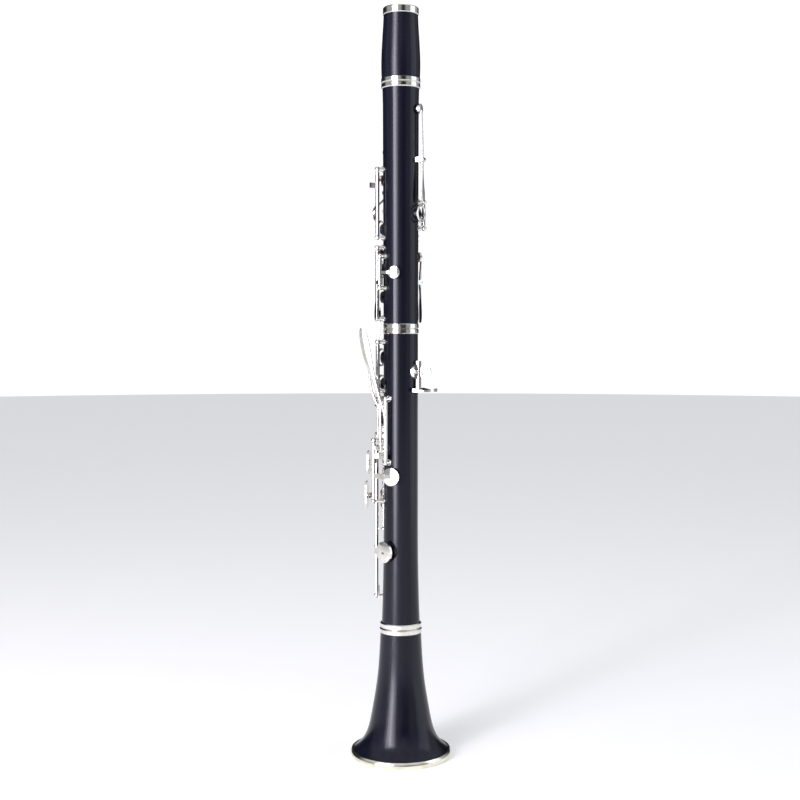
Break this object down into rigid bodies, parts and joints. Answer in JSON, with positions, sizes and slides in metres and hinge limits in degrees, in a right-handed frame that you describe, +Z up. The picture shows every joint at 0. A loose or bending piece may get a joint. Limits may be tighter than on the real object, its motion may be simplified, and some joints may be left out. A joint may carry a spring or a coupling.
{
  "type": "clarinet",
  "caption": "Soprano clarinet in four wooden joints with plated keywork, standing on its bell without a mouthpiece; every key turns on its own hinge.",
  "frame": {"origin": "centre of the bell's rim, on the surface the instrument stands on", "axes": "+Z up the bore to the barrel; -Y towards the finger holes, +Y towards the thumb hole, +X to the player's left"},
  "size_m": [0.08, 0.08, 0.591],
  "materials": {
    "grenadilla": "oiled and polished grenadilla",
    "silver_plate": "polished silver plate",
    "cork": "waxed cork",
    "rod_steel": "ground steel",
    "blued_steel": "blued spring steel",
    "pad_skin": "skin over felt"
  },
  "bodies": {
    "bell": {"bell": "grenadilla", "bell_top_ring": "silver_plate", "bell_rim_ring": "silver_plate"},
    "lower_joint": {"lower_joint": "grenadilla", "lower_joint_rings": "silver_plate", "lower_tenon_cork": "cork", "thumb_rest_plate": "silver_plate", "thumb_rest_hook": "silver_plate", "strap_ring": "silver_plate", "lower_posts": "silver_plate", "lower_hinge_rods": "rod_steel", "lower_needle_springs": "blued_steel"},
    "upper_joint": {"upper_joint": "grenadilla", "upper_joint_rings": "silver_plate", "upper_tenon_corks": "cork", "register_tube": "silver_plate", "thumb_tube": "silver_plate", "upper_posts": "silver_plate", "upper_hinge_rods": "rod_steel", "upper_needle_springs": "blued_steel"},
    "barrel": {"barrel": "grenadilla", "barrel_rings": "silver_plate"},
    "register_key": {"register_key": "silver_plate", "register_pad": "pad_skin"},
    "throat_a_key": {"throat_a_key": "silver_plate", "throat_a_pad": "pad_skin"},
    "throat_gsharp_key": {"throat_gsharp_key": "silver_plate", "throat_gsharp_pad": "pad_skin"},
    "thumb_ring_key": {"thumb_ring_key": "silver_plate"},
    "l1_ring_key": {"l1_ring_key": "silver_plate", "l1_vent_pad": "pad_skin"},
    "l2_ring_key": {"l2_ring_key": "silver_plate", "l2_vent_pad": "pad_skin"},
    "csharp_gsharp_key": {"csharp_gsharp_key": "silver_plate", "csharp_gsharp_pad": "pad_skin"},
    "eflat_sliver_key": {"eflat_sliver_key": "silver_plate", "eflat_sliver_pad": "pad_skin"},
    "side_trill_key_1": {"side_trill_key_1": "silver_plate", "side_trill_1_pad": "pad_skin"},
    "side_trill_key_2": {"side_trill_key_2": "silver_plate", "side_trill_2_pad": "pad_skin"},
    "side_trill_key_3": {"side_trill_key_3": "silver_plate", "side_trill_3_pad": "pad_skin"},
    "side_trill_key_4": {"side_trill_key_4": "silver_plate", "side_trill_4_pad": "pad_skin"},
    "lower_ring_key": {"lower_ring_key": "silver_plate"},
    "b_fsharp_sliver_key": {"b_fsharp_sliver_key": "silver_plate", "b_fsharp_sliver_pad": "pad_skin"},
    "gsharp_dsharp_key": {"gsharp_dsharp_key": "silver_plate", "gsharp_dsharp_pad": "pad_skin"},
    "f_c_key": {"f_c_key": "silver_plate", "f_c_pad": "pad_skin"},
    "fsharp_csharp_key": {"fsharp_csharp_key": "silver_plate", "fsharp_csharp_pad": "pad_skin"},
    "e_b_key": {"e_b_key": "silver_plate", "e_b_pad": "pad_skin"},
    "lh_e_b_lever": {"lh_e_b_lever": "silver_plate"},
    "lh_fsharp_csharp_lever": {"lh_fsharp_csharp_lever": "silver_plate"},
    "lh_f_c_lever": {"lh_f_c_lever": "silver_plate"}
  },
  "joints": [
    {"name": "lower_joint_pull", "type": "slide", "parent": "bell", "child": "lower_joint", "axis": [0, 0, 1], "range_m": [0, 0.022]},
    {"name": "upper_joint_pull", "type": "slide", "parent": "lower_joint", "child": "upper_joint", "axis": [0, 0, 1], "range_m": [0, 0.02]},
    {"name": "barrel_pull", "type": "slide", "parent": "upper_joint", "child": "barrel", "axis": [0, 0, 1], "range_m": [0, 0.02]},
    {"name": "register_key_turn", "type": "hinge", "parent": "upper_joint", "child": "register_key", "pos_m": [0, 0.0187, 0.47], "axis": [-1, 0, 0], "range_deg": [0, 4], "stiffness_Nm_per_rad": 0.02, "springref_deg": -28.65},
    {"name": "throat_a_key_turn", "type": "hinge", "parent": "upper_joint", "child": "throat_a_key", "pos_m": [-0.0082, -0.01681, 0.446], "axis": [0.8988, -0.4384, 0], "range_deg": [0, 4], "stiffness_Nm_per_rad": 0.02, "springref_deg": -28.65},
    {"name": "throat_gsharp_key_turn", "type": "hinge", "parent": "upper_joint", "child": "throat_gsharp_key", "pos_m": [0.01018, -0.01568, 0.436], "axis": [0, 0, 1], "range_deg": [0, 4], "stiffness_Nm_per_rad": 0.02, "springref_deg": -28.65},
    {"name": "thumb_ring_key_turn", "type": "hinge", "parent": "upper_joint", "child": "thumb_ring_key", "pos_m": [-0.01073, 0.01532, 0.427], "axis": [0, 0, -1], "range_deg": [0, 8], "stiffness_Nm_per_rad": 0.02, "springref_deg": -28.65},
    {"name": "l1_ring_key_turn", "type": "hinge", "parent": "upper_joint", "child": "l1_ring_key", "pos_m": [-0.01299, -0.01345, 0.422], "axis": [0, 0, 1], "range_deg": [0, 4.8], "stiffness_Nm_per_rad": 0.02, "springref_deg": -28.65},
    {"name": "l2_ring_key_turn", "type": "hinge", "parent": "upper_joint", "child": "l2_ring_key", "pos_m": [0.00991, -0.01586, 0.373], "axis": [0, 0, -1], "range_deg": [0, 5.5], "stiffness_Nm_per_rad": 0.02, "springref_deg": -28.65},
    {"name": "csharp_gsharp_key_turn", "type": "hinge", "parent": "upper_joint", "child": "csharp_gsharp_key", "pos_m": [0.01619, -0.01051, 0.3815], "axis": [0, 0, -1], "range_deg": [0, 4.5], "stiffness_Nm_per_rad": 0.02, "springref_deg": -28.65},
    {"name": "eflat_sliver_key_turn", "type": "hinge", "parent": "upper_joint", "child": "eflat_sliver_key", "pos_m": [-0.01163, -0.01387, 0.373], "axis": [0, 0, 1], "range_deg": [0, 5], "stiffness_Nm_per_rad": 0.02, "springref_deg": -28.65},
    {"name": "side_trill_key_1_turn", "type": "hinge", "parent": "upper_joint", "child": "side_trill_key_1", "pos_m": [-0.01611, 0.00949, 0.374], "axis": [-0.5075, -0.8616, 0], "range_deg": [0, 3.2], "stiffness_Nm_per_rad": 0.02, "springref_deg": -28.65},
    {"name": "side_trill_key_2_turn", "type": "hinge", "parent": "upper_joint", "child": "side_trill_key_2", "pos_m": [-0.01784, 0.00562, 0.382], "axis": [-0.3007, -0.9537, 0], "range_deg": [0, 3.5], "stiffness_Nm_per_rad": 0.02, "springref_deg": -28.65},
    {"name": "side_trill_key_3_turn", "type": "hinge", "parent": "upper_joint", "child": "side_trill_key_3", "pos_m": [-0.01864, 0.00147, 0.398], "axis": [-0.0785, -0.9969, 0], "range_deg": [0, 2.2], "stiffness_Nm_per_rad": 0.02, "springref_deg": -28.65},
    {"name": "side_trill_key_4_turn", "type": "hinge", "parent": "upper_joint", "child": "side_trill_key_4", "pos_m": [-0.0185, -0.00276, 0.406], "axis": [0.1478, -0.989, 0], "range_deg": [0, 2], "stiffness_Nm_per_rad": 0.02, "springref_deg": -28.65},
    {"name": "lower_ring_key_turn", "type": "hinge", "parent": "lower_joint", "child": "lower_ring_key", "pos_m": [0.01208, -0.0144, 0.307], "axis": [0, 0, -1], "range_deg": [0, 3.4], "stiffness_Nm_per_rad": 0.02, "springref_deg": -28.65},
    {"name": "b_fsharp_sliver_key_turn", "type": "hinge", "parent": "lower_joint", "child": "b_fsharp_sliver_key", "pos_m": [-0.01243, -0.01288, 0.2795], "axis": [0, 0, 1], "range_deg": [0, 5], "stiffness_Nm_per_rad": 0.02, "springref_deg": -28.65},
    {"name": "gsharp_dsharp_key_turn", "type": "hinge", "parent": "lower_joint", "child": "gsharp_dsharp_key", "pos_m": [-0.01642, -0.00873, 0.22], "axis": [0, 0, 1], "range_deg": [0, 7], "stiffness_Nm_per_rad": 0.02, "springref_deg": -28.65},
    {"name": "f_c_key_turn", "type": "hinge", "parent": "lower_joint", "child": "f_c_key", "pos_m": [-0.00749, -0.01854, 0.217], "axis": [0, 0, -1], "range_deg": [0, 7], "stiffness_Nm_per_rad": 0.02, "springref_deg": -28.65},
    {"name": "fsharp_csharp_key_turn", "type": "hinge", "parent": "lower_joint", "child": "fsharp_csharp_key", "pos_m": [0.01009, -0.01898, 0.2246], "axis": [0, 0, -1], "range_deg": [0, 6], "stiffness_Nm_per_rad": 0.02, "springref_deg": -28.65},
    {"name": "e_b_key_turn", "type": "hinge", "parent": "lower_joint", "child": "e_b_key", "pos_m": [0.00073, -0.02099, 0.183], "axis": [0, 0, 1], "range_deg": [0, 6], "stiffness_Nm_per_rad": 0.02, "springref_deg": -28.65},
    {"name": "lh_e_b_lever_turn", "type": "hinge", "parent": "lower_joint", "child": "lh_e_b_lever", "pos_m": [0.0174, -0.00499, 0.253], "axis": [0, 0, -1], "range_deg": [0, 2.9], "stiffness_Nm_per_rad": 0.02, "springref_deg": -28.65},
    {"name": "lh_fsharp_csharp_lever_turn", "type": "hinge", "parent": "lower_joint", "child": "lh_fsharp_csharp_lever", "pos_m": [0.01529, -0.01111, 0.282], "axis": [-0.5878, -0.809, 0], "range_deg": [0, 1.4], "stiffness_Nm_per_rad": 0.02, "springref_deg": -28.65},
    {"name": "lh_f_c_lever_turn", "type": "hinge", "parent": "lower_joint", "child": "lh_f_c_lever", "pos_m": [0.01164, -0.01489, 0.276], "axis": [-0.788, -0.6157, 0], "range_deg": [0, 5.3], "stiffness_Nm_per_rad": 0.02, "springref_deg": -28.65}
  ],
  "couplings": [
    {"joint": "l1_ring_key_turn", "follows": "thumb_ring_key_turn", "ratio": 0.587},
    {"joint": "l2_ring_key_turn", "follows": "lower_ring_key_turn", "ratio": 1.42},
    {"joint": "lh_e_b_lever_turn", "follows": "e_b_key_turn", "ratio": 0.47},
    {"joint": "lh_fsharp_csharp_lever_turn", "follows": "fsharp_csharp_key_turn", "ratio": 0.225},
    {"joint": "lh_f_c_lever_turn", "follows": "f_c_key_turn", "ratio": 0.735}
  ]
}
